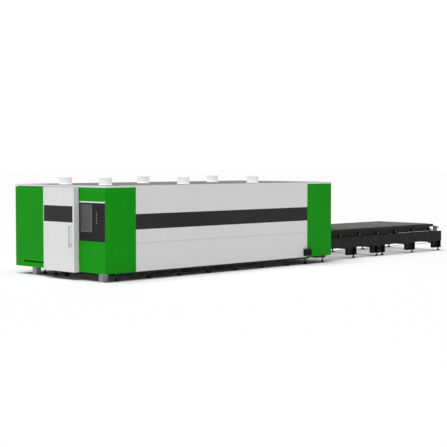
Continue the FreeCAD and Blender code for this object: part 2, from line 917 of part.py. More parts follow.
def carriage():
    back = gantry_x - beam_width / 2 - beam_rail_height - slide_gap
    front = back - carriage_thickness
    half = carriage_width / 2
    low = beam_rail_heights()[0] - carriage_foot
    shelf = beam_low + beam_height + carriage_shelf_gap
    top = shelf + carriage_shelf_thickness
    motor_half = spindle_motor_size / 2
    plate = box(front, back, carriage_y - half, carriage_y + half, low, top)
    mount = box(front, back + carriage_shelf_reach, carriage_y - half, carriage_y + half, shelf, top)
    motor = box(front, front + spindle_motor_size, carriage_y - motor_half, carriage_y + motor_half,
                top, top + spindle_motor_height)
    return [joined([plate, mount, motor])]


def slide_face():
    return gantry_x - beam_width / 2 - beam_rail_height - carriage_thickness - 2 * slide_gap


def z_slide():
    back = slide_face()
    half = slide_width / 2
    return [box(back - slide_thickness, back, carriage_y - half, carriage_y + half,
                nozzle_tip + slide_foot, beam_low + beam_height)]


def head_x():
    return gantry_x - head_offset


def cutting_head():
    half = head_width / 2
    x = head_x()
    back = slide_face() - slide_thickness
    neck_low = nozzle_tip + nozzle_length
    body_low = neck_low + head_neck
    body_top = body_low + head_height
    body = box(x - half, back, carriage_y - half, carriage_y + half, body_low, body_top)
    neck = rod(half - head_neck_step, head_neck, (x, carriage_y, neck_low), (0, 0, 1))
    fibre = rod(fibre_radius, fibre_length, (x, carriage_y, body_top), (0, 0, 1))
    return [joined([body, neck, fibre])]


def nozzle():
    tip = cone(nozzle_tip_radius, nozzle_top_radius, nozzle_length, (head_x(), carriage_y, nozzle_tip))
    bore = rod(nozzle_bore_radius, nozzle_length + 2, (head_x(), carriage_y, nozzle_tip - 1), (0, 0, 1))
    return [tip.cut(bore)]


# ---- exchange table ----
def channel_top():
    return track_upper - track_bar_height


def bar_y():
    """The near edge of the flat bars that the wheels run on."""
    return bed_inner_y + wheel_gap_y - track_bar_reach


def table_side_beams():
    y = bed_inner_y
    x0 = bed_end
    x1 = table_end
    top = channel_top()
    plates = [box(x0, x1, y, y + channel_plate, channel_bottom, top),
              box(x0, x1, y, y + channel_flange, channel_bottom, channel_bottom + channel_plate),
              box(x0, x1, y, y + channel_flange, top - channel_plate, top)]
    for z in (track_upper, track_lower):
        plates.append(box(x0, stop_x - stop_track_gap, bar_y(), bar_y() + track_bar_width,
                          z - track_bar_height, z))
    near = joined(plates)
    end = tube_along("y", x1 - tube, x1, y + channel_flange, bed_far_y - channel_flange,
                     channel_bottom, channel_bottom + end_beam_height, frame_wall)
    return [near, across_pallet(near), end]


def leg_places():
    return [tuple(cabin_length + value for value in span) for span in leg_spans]


def table_supports():
    out = []
    y0 = bed_inner_y
    y1 = y0 + leg_depth
    half = table_cross_width / 2
    low = leg_bottom + leg_plate
    for x0, x1, _ in leg_places():
        leg = box(x0, x1, y0, y1, low, channel_bottom)
        leg = leg.cut(box(x0 + leg_wall, x1 - leg_wall, y0 - 1, y1 - leg_wall,
                          low + leg_wall, channel_bottom - leg_wall))
        plate = box(x0 - leg_plate_side, x1 + leg_plate_side, y0 - leg_plate_front, y1 + leg_plate_front,
                    leg_bottom, low)
        near = joined([leg, plate])
        middle = (x0 + x1) / 2
        cross = tube_along("y", middle - half, middle + half, y1, 2 * pallet_centre_y - y1,
                           channel_bottom - table_cross_height, channel_bottom, frame_wall)
        out += [near, across_pallet(near), cross]
    y2 = y0 + hanger_inset
    hanger = box(idler_x - hanger_width / 2, idler_x + hanger_width / 2, y2, y2 + hanger_thickness,
                 sprocket_z - hanger_drop, channel_bottom)
    bore = rod(shaft_radius + shaft_clearance, hanger_thickness + 2, (idler_x, y2 - 1, sprocket_z), (0, 1, 0))
    hanger = hanger.cut(bore)
    return out + [hanger, across_pallet(hanger)]


def table_feet():
    feet = []
    for _, _, foot_x in leg_places():
        near = foot(foot_x, bed_inner_y + leg_depth / 2, leg_bottom)
        feet += [near, across_pallet(near)]
    return feet


def end_stops():
    y = bed_inner_y + stop_inset
    top = channel_top()
    outline = [(0, 0), (stop_length, 0), (stop_length, stop_catch_low), (stop_catch, stop_catch_low),
               (stop_catch, stop_catch_high), (stop_slope_start, stop_height), (0, stop_height), (0, 0)]
    points = [Vector(stop_x + across, y, top + up) for across, up in outline]
    post = Part.Face(Part.makePolygon(points)).extrude(Vector(0, stop_width, 0))
    plate = box(stop_x - stop_foot_reach, stop_x + stop_length + stop_foot_reach, y, y + stop_foot_width,
                top, top + stop_foot_plate)
    absorber = rod(absorber_radius, absorber_length,
                   (stop_x - absorber_length, y + stop_width / 2, top + absorber_height), (1, 0, 0))
    near = joined([post, plate, absorber])
    return [near, across_pallet(near)]


def exchange_gearmotor():
    half = gearbox_width / 2
    housing = box(drive_x - half, drive_x + half, -gearbox_reach, frame_inset_side, gearbox_low, gearbox_high)
    edges = [e for e in housing.Edges if e.BoundBox.YMax < -gearbox_reach + 0.1]
    return [housing.makeChamfer(gearbox_chamfer, edges)]


def sprocket_shaft(x, start, end):
    shaft = rod(shaft_radius, end - start, (x, start, sprocket_z), (0, 1, 0))
    radius = chain_pitch_radius - chain_half - sprocket_gap
    y0 = chain_y - chain_width / 2
    y1 = 2 * pallet_centre_y - y0 - chain_width
    sprockets = [rod(radius, chain_width, (x, y, sprocket_z), (0, 1, 0)) for y in (y0, y1)]
    return [joined([shaft] + sprockets)]


def drive_shaft():
    return sprocket_shaft(drive_x, frame_inset_side + shaft_clearance, bed_far_y + bed_wall - 1)


def idler_shaft():
    start = bed_inner_y + idler_end_inset
    return sprocket_shaft(idler_x, start, 2 * pallet_centre_y - start)


def chain_loop(radius):
    """The space inside a closed loop of the given radius round both sprockets."""
    y0 = chain_y - chain_width / 2
    ends = [rod(radius, chain_width, (x, y0, sprocket_z), (0, 1, 0)) for x in (drive_x, idler_x)]
    span = box(drive_x, idler_x, y0, y0 + chain_width, sprocket_z - radius, sprocket_z + radius)
    return joined([span] + ends)


def drive_chains():
    near = chain_loop(chain_pitch_radius + chain_half).cut(chain_loop(chain_pitch_radius - chain_half))
    return [near, across_pallet(near)]


# ---- pallets ----
def pallet_frame(x, track):
    """Side rails, cross bars, slat combs and end hooks of one pallet."""
    x1 = x + pallet_length
    top = track + pallet_top_over_track - slat_height
    low = top - pallet_rail_height
    y0 = bed_inner_y + wheel_gap_y + wheel_width + axle_length
    y1 = y0 + pallet_rail_width
    side = tube_along("x", x, x1, y0, y1, low, top, pallet_tube_wall)
    comb_y = bed_inner_y + comb_inset
    comb_x = x + comb_start
    comb = box(comb_x, x1 + comb_overhang, comb_y, comb_y + comb_thickness, top, top + comb_height)
    shelf = box(comb_x, x1 - hook_overlap, comb_y, y0 + comb_overlap, top, top + comb_shelf)
    hook = box(x1 - hook_overlap, x1 + hook_length, y0, y0 + hook_width, top - hook_drop,
               top - hook_drop + hook_height)
    hook = hook.cut(box(x1 - hook_overlap - 1, x1, y0 - 1, y1, low, top))
    near = [side, joined([comb, shelf]), hook]
    members = near + [across_pallet(s) for s in near]
    half = pallet_cross_width / 2
    for cx in wheel_places(x):
        members.append(tube_along("y", cx - half, cx + half, y1, 2 * pallet_centre_y - y1,
                                  top - pallet_cross_height, top, pallet_tube_wall))
    return members


def wheel_places(x):
    return [x + wheel_first + wheel_pitch * k for k in range(wheel_count)]


def pallet_slats(x, track):
    top = track + pallet_top_over_track
    y0 = bed_inner_y + comb_inset + comb_thickness + slat_seat_gap
    y1 = 2 * pallet_centre_y - y0
    starts = [x + slat_first + slat_pitch * k for k in range(slat_count)]
    return [box(start, start + slat_thickness, y0, y1, top - slat_height + comb_shelf, top) for start in starts]


def pallet_wheels(x, track):
    wheels = []
    y = bed_inner_y + wheel_gap_y
    z = track + wheel_radius + wheel_lift
    for cx in wheel_places(x):
        wheel = rod(wheel_radius, wheel_width, (cx, y, z), (0, 1, 0))
        hub = rod(hub_radius, hub_depth, (cx, y - hub_depth, z), (0, 1, 0))
        axle = rod(axle_radius, axle_length, (cx, y + wheel_width, z), (0, 1, 0))
        near = joined([wheel, hub, axle])
        wheels += [near, across_pallet(near)]
    return wheels


def lower_x():
    return pallet_x - pallet_travel


def sub_parts():
    """Every sub-part's name and its solids, in the layout frame."""
    groups = {
        "base_frame": base_frame(),
        "machine_feet": machine_feet(),
        "front_pedestals": front_pedestals(),
        "bed_sides": bed_sides(),
        "bed_tracks": bed_tracks(),
        "gantry_rails": gantry_rails(),
        "gear_racks": gear_racks(),
        "scrap_trays": scrap_trays(),
        "cabin_frame": cabin_frame(),
        "console_cover": console_cover(),
        "left_cover": left_cover(),
        "side_panels": side_panels(),
        "side_windows": side_windows(),
        "end_column_covers": end_column_covers(),
        "end_header": end_header(),
        "rear_panels": rear_panels(),
        "roof_panels": roof_panels(),
        "roof_trim": roof_trim(),
        "duct_collars": duct_collars(),
        "console_panel": console_panel(),
        "display": display(),
        "light_strip": light_strip(),
        "indicator_lamps": indicator_lamps(),
        "emergency_stop": emergency_stop(),
        "selector_knob": selector_knob(),
        "door_leaf": door_leaf(),
        "door_window": door_window(),
        "door_handle": door_handle(),
        "door_lock": door_lock(),
        "door_rails": door_rails(),
        "door_carriages": door_carriages(),
        "laser_source": laser_source(),
        "electrical_cabinet": electrical_cabinet(),
        "gantry_beam": gantry_beam(),
        "beam_rails": beam_rails(),
        "gantry_end_blocks": gantry_end_blocks(),
        "gantry_motors": gantry_motors(),
        "carriage": carriage(),
        "z_slide": z_slide(),
        "cutting_head": cutting_head(),
        "nozzle": nozzle(),
        "table_side_beams": table_side_beams(),
        "table_supports": table_supports(),
        "table_feet": table_feet(),
        "end_stops": end_stops(),
        "exchange_gearmotor": exchange_gearmotor(),
        "drive_shaft": drive_shaft(),
        "idler_shaft": idler_shaft(),
        "drive_chains": drive_chains(),
        "upper_pallet_frame": pallet_frame(pallet_x, track_upper),
        "upper_pallet_slats": pallet_slats(pallet_x, track_upper),
        "upper_pallet_wheels": pallet_wheels(pallet_x, track_upper),
        "lower_pallet_frame": pallet_frame(lower_x(), track_lower),
        "lower_pallet_slats": pallet_slats(lower_x(), track_lower),
        "lower_pallet_wheels": pallet_wheels(lower_x(), track_lower),
    }
    for number, z in enumerate(button_heights(), 1):
        groups[f"panel_button_{number}"] = panel_button(z)
    return groups


def footprint_shift(groups):
    """Moves the middle of the whole machine's footprint, at floor level, to the origin."""
    whole = Part.makeCompound([s for solids in groups.values() for s in solids]).BoundBox
    return Vector(-(whole.XMin + whole.XMax) / 2, -(whole.YMin + whole.YMax) / 2, -whole.ZMin)


def main():
    os.makedirs("parts", exist_ok=True)
    groups = sub_parts()
    shift = footprint_shift(groups)
    for name, solids in groups.items():
        shape = solids[0] if len(solids) == 1 else Part.makeCompound(solids)
        shape.translate(shift)
        shape.exportStep(f"parts/{name}.step")
    print(len(groups), "sub-parts, shifted by", shift)


main()
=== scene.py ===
import json
import math

import bmesh
import bpy
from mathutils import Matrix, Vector


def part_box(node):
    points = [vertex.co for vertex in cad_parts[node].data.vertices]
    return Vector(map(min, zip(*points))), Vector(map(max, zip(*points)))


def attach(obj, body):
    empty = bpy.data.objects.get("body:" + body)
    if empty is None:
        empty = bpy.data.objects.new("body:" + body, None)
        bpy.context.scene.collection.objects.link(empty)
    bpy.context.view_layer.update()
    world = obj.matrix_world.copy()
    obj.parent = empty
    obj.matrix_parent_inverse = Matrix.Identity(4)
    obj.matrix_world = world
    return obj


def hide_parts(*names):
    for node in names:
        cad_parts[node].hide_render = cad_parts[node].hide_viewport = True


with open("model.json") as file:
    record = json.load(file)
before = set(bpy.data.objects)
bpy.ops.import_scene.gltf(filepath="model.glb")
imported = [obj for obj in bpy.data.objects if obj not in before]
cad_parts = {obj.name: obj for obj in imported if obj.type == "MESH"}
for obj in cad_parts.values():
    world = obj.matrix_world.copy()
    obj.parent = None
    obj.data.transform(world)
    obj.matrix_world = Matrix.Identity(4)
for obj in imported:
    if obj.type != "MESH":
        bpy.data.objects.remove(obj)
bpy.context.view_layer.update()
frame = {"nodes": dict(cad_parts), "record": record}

SLOT_OF = {part["node"]: part["material_slot"] for part in frame["record"]["subparts"]}

# The photographer's place, measured from the cabin's near front corner at the covers' lower edge.
CAMERA_FROM_CORNER = Vector((-17.189, -20.996, 2.595))
CAMERA_HEADING = math.radians(44.94)   # from +X towards +Y
CAMERA_DROP = math.radians(3.0)
LENS = 94.58                           # mm
SENSOR_WIDTH = 36.0                    # mm
FAR_CLIP = 500.0

SUN_TOWARDS = (-0.289, -0.03, 0.954)   # from the machine to the light
SUN_STRENGTH = 2.7
SUN_ANGLE = math.radians(50)
WORLD_AS_LIGHT = 0.30
WORLD_AS_SEEN = 1.05                   # just over 1, so that the background is plain white
FLOOR_SIZE = 600.0
WHITE = (1, 1, 1, 1)

BOX_FACES = [(0, 1, 3, 2), (4, 6, 7, 5), (0, 4, 5, 1), (2, 3, 7, 6), (0, 2, 6, 4), (1, 5, 7, 3)]
TOOTH_PITCH = 0.026
TOOTH_DEPTH = 0.022
CHAIN_PITCH = 0.0508


# ---- camera, light and floor ----
def add_camera():
    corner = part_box("console_cover")[0]
    data = bpy.data.cameras.new("camera")
    data.lens = LENS
    data.sensor_width = SENSOR_WIDTH
    data.clip_end = FAR_CLIP
    camera = bpy.data.objects.new("camera", data)
    bpy.context.scene.collection.objects.link(camera)
    level = math.cos(CAMERA_DROP)
    heading = Vector((math.cos(CAMERA_HEADING) * level, math.sin(CAMERA_HEADING) * level,
                      -math.sin(CAMERA_DROP)))
    camera.location = corner + CAMERA_FROM_CORNER
    camera.rotation_euler = heading.to_track_quat("-Z", "Y").to_euler()
    bpy.context.scene.camera = camera


def add_sun():
    data = bpy.data.lights.new("key", "SUN")
    data.energy = SUN_STRENGTH
    data.angle = SUN_ANGLE
    light = bpy.data.objects.new("key", data)
    bpy.context.scene.collection.objects.link(light)
    light.rotation_euler = (-Vector(SUN_TOWARDS)).to_track_quat("-Z", "Y").to_euler()


def add_studio():
    scene = bpy.context.scene
    scene.view_settings.view_transform = "Standard"
    world = bpy.data.worlds.new("studio")
    scene.world = world
    world.use_nodes = True
    nodes, links = world.node_tree.nodes, world.node_tree.links
    background = nodes["Background"]
    path = nodes.new("ShaderNodeLightPath")
    strength = nodes.new("ShaderNodeMix")
    strength.data_type = "FLOAT"
    strength.inputs["A"].default_value = WORLD_AS_LIGHT
    strength.inputs["B"].default_value = WORLD_AS_SEEN
    links.new(path.outputs["Is Camera Ray"], strength.inputs["Factor"])
    links.new(strength.outputs["Result"], background.inputs["Strength"])
    background.inputs["Color"].default_value = WHITE
    add_sun()
    bpy.ops.mesh.primitive_plane_add(size=FLOOR_SIZE, location=(0, 0, 0))
    floor = bpy.context.object
    floor.name = "floor"
    material, shader, _ = new_material("floor_paint")
    shader.inputs["Base Color"].default_value = (0.9, 0.9, 0.9, 1)
    shader.inputs["Roughness"].default_value = 0.9
    shader.inputs["Specular IOR Level"].default_value = 0.1
    floor.data.materials.append(material)


# ---- materials ----
def new_material(name):
    material = bpy.data.materials.new(name)
    material.use_nodes = True
    tree = material.node_tree
    return material, tree.nodes["Principled BSDF"], tree


def add_node(tree, kind, **inputs):
    node = tree.nodes.new(kind)
    for key, value in inputs.items():
        node.inputs[key.replace("_", " ")].default_value = value
    return node


def coordinates(tree, stretch=(1, 1, 1)):
    """The object's own coordinates, in metres, stretched along the given axes."""
    place = tree.nodes.new("ShaderNodeTexCoord")
    scaled = tree.nodes.new("ShaderNodeMapping")
    scaled.inputs["Scale"].default_value = stretch
    tree.links.new(place.outputs["Object"], scaled.inputs["Vector"])
    return scaled.outputs["Vector"]


def noise(tree, vector, scale, detail=3.0, roughness=0.55):
    node = add_node(tree, "ShaderNodeTexNoise", Scale=scale, Detail=detail, Roughness=roughness)
    tree.links.new(vector, node.inputs["Vector"])
    return node.outputs["Fac"]


def ramp(tree, value, low, high, start=0.0, end=1.0):
    node = tree.nodes.new("ShaderNodeMapRange")
    node.inputs["From Min"].default_value = start
    node.inputs["From Max"].default_value = end
    node.inputs["To Min"].default_value = low
    node.inputs["To Max"].default_value = high
    tree.links.new(value, node.inputs["Value"])
    return node.outputs["Result"]


def blend_colour(tree, factor, first, second):
    node = tree.nodes.new("ShaderNodeMix")
    node.data_type = "RGBA"
    tree.links.new(factor, node.inputs["Factor"])
    for socket, colour in (("A", first), ("B", second)):
        target = next(s for s in node.inputs if s.name == socket and s.type == "RGBA")
        if hasattr(colour, "links"):
            tree.links.new(colour, target)
        else:
            target.default_value = (*colour, 1)
    return next(s for s in node.outputs if s.type == "RGBA")


def add_bump(tree, shader, height, distance, strength):
    node = tree.nodes.new("ShaderNodeBump")
    node.inputs["Strength"].default_value = strength
    node.inputs["Distance"].default_value = distance
    tree.links.new(height, node.inputs["Height"])
    tree.links.new(node.outputs["Normal"], shader.inputs["Normal"])


def edge_mask(tree, radius):
    """Near 1 at the metal's edges and 0 on its flats."""
    rounded = tree.nodes.new("ShaderNodeBevel")
    rounded.samples = 4
    rounded.inputs["Radius"].default_value = radius
    flat = tree.nodes.new("ShaderNodeNewGeometry")
    dot = tree.nodes.new("ShaderNodeVectorMath")
    dot.operation = "DOT_PRODUCT"
    tree.links.new(rounded.outputs["Normal"], dot.inputs[0])
    tree.links.new(flat.outputs["Normal"], dot.inputs[1])
    return ramp(tree, dot.outputs["Value"], 1.0, 0.0, 0.80, 0.985)


def scale_value(tree, first, second):
    node = tree.nodes.new("ShaderNodeMath")
    node.operation = "MULTIPLY"
    tree.links.new(first, node.inputs[0])
    tree.links.new(second, node.inputs[1])
    return node.outputs["Value"]


def paint(name, colour, streak_and_highlight, roughness=0.42, variation=0.06, edge_highlight=0.35, gloss=0.12, glow=0.0):
    """Sprayed or powder-coated metal: orange peel, slight clouds and streaks, lighter edges that
    are a painted highlight.

    A small glow, painted light from a part that is no lamp, makes the roof collars whiter than
    their lighting would.
    """
    material, shader, tree = new_material(name)
    place = coordinates(tree)
    cloudy = noise(tree, place, 0.9, 4.0)
    light = tuple(min(1.0, c * (1 + variation)) for c in colour)
    dark = tuple(c * (1 - variation) for c in colour)
    base = blend_colour(tree, ramp(tree, cloudy, 0, 1, 0.3, 0.7), dark, light)
    streaks = noise(tree, coordinates(tree, (9, 9, 0.6)), 1.0, 5.0)
    base = blend_colour(tree, ramp(tree, streaks, 0, 0.10, 0.5, 0.8), base, streak_and_highlight)
    broken = noise(tree, place, 60.0, 4.0)
    # Painted highlight: the edges, broken up by noise, take the second colour.
    edges = scale_value(tree, edge_mask(tree, 0.004), ramp(tree, broken, 0, edge_highlight, 0.42, 0.62))
    base = blend_colour(tree, edges, base, streak_and_highlight)
    tree.links.new(base, shader.inputs["Base Color"])
    rough = ramp(tree, noise(tree, place, 5.0, 5.0), roughness - 0.06, roughness + 0.08, 0.3, 0.7)
    tree.links.new(rough, shader.inputs["Roughness"])
    shader.inputs["Specular IOR Level"].default_value = gloss
    # Painted light: an emission that brightens the part, though it is no lamp.
    if glow:
        shader.inputs["Emission Color"].default_value = WHITE
        shader.inputs["Emission Strength"].default_value = glow
    add_bump(tree, shader, noise(tree, place, 320.0, 2.0), 0.0006, 0.25)
    return material


def metal(name, colour, dull, roughness=0.32, stretch=(1, 1, 1), grain=180.0, patch=6.0,
          amount=0.5):
    """Bare metal: grain from grinding or rolling, duller patches and a painted highlight that
    lightens every edge.
    """
    material, shader, tree = new_material(name)
    place = coordinates(tree)
    patches = noise(tree, place, patch, 6.0, 0.6)
    base = blend_colour(tree, ramp(tree, patches, 0, amount, 0.4, 0.65), colour, dull)
    # Painted highlight: every edge is lightened by 35 percent.
    bright = tuple(min(1, c * 1.35) for c in colour)
    base = blend_colour(tree, edge_mask(tree, 0.0025), base, bright)
    tree.links.new(base, shader.inputs["Base Color"])
    shader.inputs["Metallic"].default_value = 1.0
    grain_lines = noise(tree, coordinates(tree, stretch), grain, 3.0)
    tree.links.new(ramp(tree, grain_lines, roughness - 0.08, roughness + 0.16, 0.3, 0.7),
                   shader.inputs["Roughness"])
    add_bump(tree, shader, grain_lines, 0.0004, 0.3)
    return material


def plastic(name, colour, roughness=0.4, grain=700.0, gloss=0.2):
    material, shader, tree = new_material(name)
    place = coordinates(tree)
    base = blend_colour(tree, ramp(tree, noise(tree, place, 14.0, 4.0), 0, 1, 0.35, 0.65),
                        tuple(c * 0.92 for c in colour), tuple(min(1, c * 1.08) for c in colour))
    tree.links.new(base, shader.inputs["Base Color"])
    rough = ramp(tree, noise(tree, place, 40.0), roughness - 0.05, roughness + 0.05, 0.3, 0.7)
    tree.links.new(rough, shader.inputs["Roughness"])
    shader.inputs["Specular IOR Level"].default_value = gloss
    add_bump(tree, shader, noise(tree, place, grain, 2.0), 0.0003, 0.25)
    return material


def laser_glass(name):
    """Dark coated glazing that lets nothing through: deep tint with slight ripple and smears."""
    material, shader, tree = new_material(name)
    place = coordinates(tree)
    base = blend_colour(tree, ramp(tree, noise(tree, place, 0.7, 3.0), 0, 1, 0.3, 0.7),
                        (0.015, 0.0155, 0.017), (0.022, 0.0225, 0.024))
    tree.links.new(base, shader.inputs["Base Color"])
    tree.links.new(ramp(tree, noise(tree, place, 3.0, 6.0), 0.10, 0.20, 0.3, 0.7),
                   shader.inputs["Roughness"])
    shader.inputs["Specular IOR Level"].default_value = 0.15
    add_bump(tree, shader, noise(tree, place, 2.5, 1.0), 0.002, 0.1)
    return material


def galvanised(name):
    """Zinc-coated sheet with its spangle."""
    material, shader, tree = new_material(name)
    place = coordinates(tree)
    spangle = add_node(tree, "ShaderNodeTexVoronoi", Scale=55.0)
    tree.links.new(place, spangle.inputs["Vector"])
    base = blend_colour(tree, spangle.outputs["Color"], (0.80, 0.81, 0.82), (0.90, 0.90, 0.91))
    tree.links.new(base, shader.inputs["Base Color"])
    shader.inputs["Metallic"].default_value = 0.25
    tree.links.new(ramp(tree, spangle.outputs["Distance"], 0.35, 0.6), shader.inputs["Roughness"])
    add_bump(tree, shader, noise(tree, place, 90.0), 0.0005, 0.3)
    return material


def slat_steel(name, top):
    """Laser-cut steel strip: mill scale, with heat tint and slag on the teeth near the top."""
    material, shader, tree = new_material(name)
    place = coordinates(tree)
    base = blend_colour(tree, ramp(tree, noise(tree, place, 9.0, 6.0), 0, 1, 0.35, 0.65),
                        (0.36, 0.36, 0.362), (0.49, 0.49, 0.492))
    split = tree.nodes.new("ShaderNodeSeparateXYZ")
    tree.links.new(place, split.inputs["Vector"])
    height = ramp(tree, split.outputs["Z"], 0, 1, top - 0.03, top)
    broken = ramp(tree, noise(tree, place, 45.0, 5.0), 0.2, 1.0, 0.35, 0.6)
    ragged = scale_value(tree, height, broken)
    base = blend_colour(tree, ragged, base, (0.40, 0.37, 0.35))
    tree.links.new(base, shader.inputs["Base Color"])
    shader.inputs["Metallic"].default_value = 0.35
    shader.inputs["Roughness"].default_value = 0.5
    add_bump(tree, shader, noise(tree, place, 150.0, 4.0), 0.0012, 0.5)
    return material


def make_materials():
    slats_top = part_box("upper_pallet_slats")[1].z
    return {
        # Each paint's second colour tints its streaks and is also its painted edge highlight.
        "green_paint": paint("green_paint", (0.006, 0.315, 0.0045), (0.05, 0.38, 0.045),
                             edge_highlight=0.25, gloss=0.07),
        "white_paint": paint("white_paint", (0.80, 0.80, 0.81), (0.72, 0.72, 0.72),
                             variation=0.012, edge_highlight=0.15),
        "roof_grey": paint("roof_grey", (0.23, 0.23, 0.235), (0.4, 0.4, 0.4), roughness=0.6),
        "black_paint": paint("black_paint", (0.017, 0.017, 0.018), (0.20, 0.20, 0.20),
                             roughness=0.5),
        "frame_grey": paint("frame_grey", (0.28, 0.29, 0.30), (0.5, 0.5, 0.5)),
        "pedestal_grey": paint("pedestal_grey", (0.42, 0.41, 0.42), (0.6, 0.6, 0.6)),
        # White collar paint with a painted glow that lightens it beyond its lighting.
        "collar_white_painted_glow": paint("collar_white_painted_glow", (0.86, 0.86, 0.87), (0.75, 0.75, 0.75),
                              variation=0.02, glow=0.34),
        "seal_rubber": plastic("seal_rubber", (0.62, 0.62, 0.62), 0.6),
        "ground_steel": metal("ground_steel", (0.62, 0.63, 0.64), (0.42, 0.42, 0.43), 0.25,
                              (1, 40, 40)),
        "dark_steel": metal("dark_steel", (0.20, 0.20, 0.21), (0.09, 0.085, 0.08), 0.4),
        "galvanised": galvanised("galvanised"),
        "cast_alloy": metal("cast_alloy", (0.66, 0.67, 0.68), (0.48, 0.49, 0.5), 0.42, grain=260.0),
        "laser_glass": laser_glass("laser_glass"),
        "black_panel": paint("black_panel", (0.016, 0.016, 0.018), (0.10, 0.10, 0.10),
                             roughness=0.36, edge_highlight=0.12),
        "screen": plastic("screen", (0.085, 0.088, 0.093), 0.2, 900.0),
        "light_diffuser": plastic("light_diffuser", (0.85, 0.85, 0.86), 0.5),
        "red_plastic": plastic("red_plastic", (0.16, 0.012, 0.010), 0.3, gloss=0.25),
        "button_grey": plastic("button_grey", (0.55, 0.55, 0.56), 0.35, gloss=0.3),
        "black_plastic": plastic("black_plastic", (0.02, 0.02, 0.021), 0.45),
        "motor_black": paint("motor_black", (0.011, 0.011, 0.012), (0.10, 0.10, 0.11),
                             roughness=0.45),
        "copper": metal("copper", (0.80, 0.45, 0.30), (0.45, 0.22, 0.14), 0.3, patch=60.0),
        "slat_steel": slat_steel("slat_steel", slats_top),
        "bright_steel": metal("bright_steel", (0.85, 0.86, 0.87), (0.6, 0.6, 0.6), 0.22,
                              patch=20.0, amount=0.3),
        "screen_glass": plastic("screen_glass", (0.088, 0.088, 0.090), 0.2),
        "screen_dark": plastic("screen_dark", (0.080, 0.080, 0.082), 0.2),
        "screen_light": plastic("screen_light", (0.14, 0.145, 0.15), 0.2),
    }


def dress_cad_nodes(materials):
    for node, thing in frame["nodes"].items():
        thing.data.materials.clear()
        # The duct collars take the paint with the painted glow.
        name = "collar_white_painted_glow" if node == "duct_collars" else SLOT_OF[node]
        thing.data.materials.append(materials[name])


# ---- mesh tools ----
def islands(node):
    """The lowest and highest corner of each separate solid of a CAD node."""
    mesh = bmesh.new()
    mesh.from_mesh(frame["nodes"][node].data)
    bmesh.ops.remove_doubles(mesh, verts=mesh.verts, dist=1e-5)
    seen = set()
    out = []
    for vertex in mesh.verts:
        if vertex.index in seen:
            continue
        seen.add(vertex.index)
        stack = [vertex]
        points = []
        while stack:
            here = stack.pop()
            points.append(here.co.copy())
            for edge in here.link_edges:
                other = edge.other_vert(here)
                if other.index not in seen:
                    seen.add(other.index)
                    stack.append(other)
        low = Vector([min(p[i] for p in points) for i in range(3)])
        high = Vector([max(p[i] for p in points) for i in range(3)])
        out.append((low, high))
    mesh.free()
    return out


def round_edges(thing, width):
    modifier = thing.modifiers.new("bevel", "BEVEL")
    modifier.width = width
    modifier.segments = 2
    modifier.limit_method = "ANGLE"


class Builder:
    """Collects faces of several materials into one mesh object."""

    def __init__(self, name):
        self.name = name
        self.points = []
        self.faces = []
        self.slots = []

    def add(self, points, faces, slot=0):
        first = len(self.points)
        self.points += [tuple(p) for p in points]
        self.faces += [tuple(first + i for i in face) for face in faces]
        self.slots += [slot] * len(faces)

    def block(self, low, high, slot=0):
        x0, y0, z0 = low
        x1, y1, z1 = high
        points = [(x, y, z) for x in (x0, x1) for y in (y0, y1) for z in (z0, z1)]
        self.add(points, BOX_FACES, slot)

    def lathe(self, centre, axis, profile, sides, slot=0):
        """Turns (distance along axis, radius) points round an axis, closed at both ends."""
        spin = Vector((0, 0, 1)).rotation_difference(Vector(axis)).to_matrix()
        points = []
        for along, radius in profile:
            for k in range(sides):
                angle = 2 * math.pi * k / sides
                spoke = Vector((radius * math.cos(angle), radius * math.sin(angle), along))
                points.append(Vector(centre) + spin @ spoke)
        faces = []
        for ring in range(len(profile) - 1):
            for k in range(sides):
                a = ring * sides + k
                b = ring * sides + (k + 1) % sides
                faces.append((a, b, b + sides, a + sides))
        faces.append(tuple(reversed(range(sides))))
        last = (len(profile) - 1) * sides
        faces.append(tuple(range(last, last + sides)))
        self.add(points, faces, slot)

    def bolt(self, centre, axis, size):
        """A hexagon head on its washer. size is the head's width across corners, halved."""
        self.lathe(centre, axis, [(0, size * 1.35), (size * 0.22, size * 1.35)], 20)
        self.lathe(centre, axis, [(0, size), (size * 0.75, size), (size * 0.95, size * 0.82)], 6)

    def finish(self, materials, body, replaced=(), smooth=None, bevel=0.0):
        mesh = bpy.data.meshes.new(self.name)
        mesh.from_pydata(self.points, [], self.faces)
        mesh.polygons.foreach_set("material_index", self.slots)
        for material in materials:
            mesh.materials.append(material)
        thing = bpy.data.objects.new(self.name, mesh)
        bpy.context.scene.collection.objects.link(thing)
        if bevel:
            round_edges(thing, bevel)
        if smooth:
            mesh.shade_smooth()
            mesh.set_sharp_from_angle(angle=math.radians(smooth))
        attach(thing, body)
        if replaced:
            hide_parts(*replaced)


# ---- pieces with more detail than their CAD solids ----
def middle(low, high):
    return (low + high) / 2


def toothed_slats(node, body, materials):
    """Slats whose upper edge is cut into points that carry the sheet."""
    build = Builder(node + "_toothed")
    for low, high in sorted(islands(node), key=lambda pair: pair[0].x):
        count = round((high.y - low.y) / TOOTH_PITCH)
        pitch = (high.y - low.y) / count
        outline = [(low.y, low.z)]
        for k in range(count):
            y = low.y + pitch * k
            outline += [(y, high.z - TOOTH_DEPTH), (y + pitch * 0.38, high.z),
                        (y + pitch * 0.62, high.z)]
        outline += [(high.y, high.z - TOOTH_DEPTH), (high.y, low.z)]
        points = [(x, y, z) for x in (low.x, high.x) for y, z in outline]
        n = len(outline)
        # Each side is cut into upright strips, so that no face is a long many-sided one.
        faces = []
        for k in range(n - 1):
            faces.append((k, k + n, k + 1 + n, k + 1))
        faces.append((n - 1, 2 * n - 1, n, 0))
        base = len(points)
        points += [(x, y, low.z) for x in (low.x, high.x) for y, _ in outline]
        for k in range(1, n - 2):
            faces.append((base + k, k, k + 1, base + k + 1))
            faces.append((base + n + k + 1, n + k + 1, n + k, base + n + k))
        build.add(points, faces)
    build.finish([materials["slat_steel"]], body, [node])


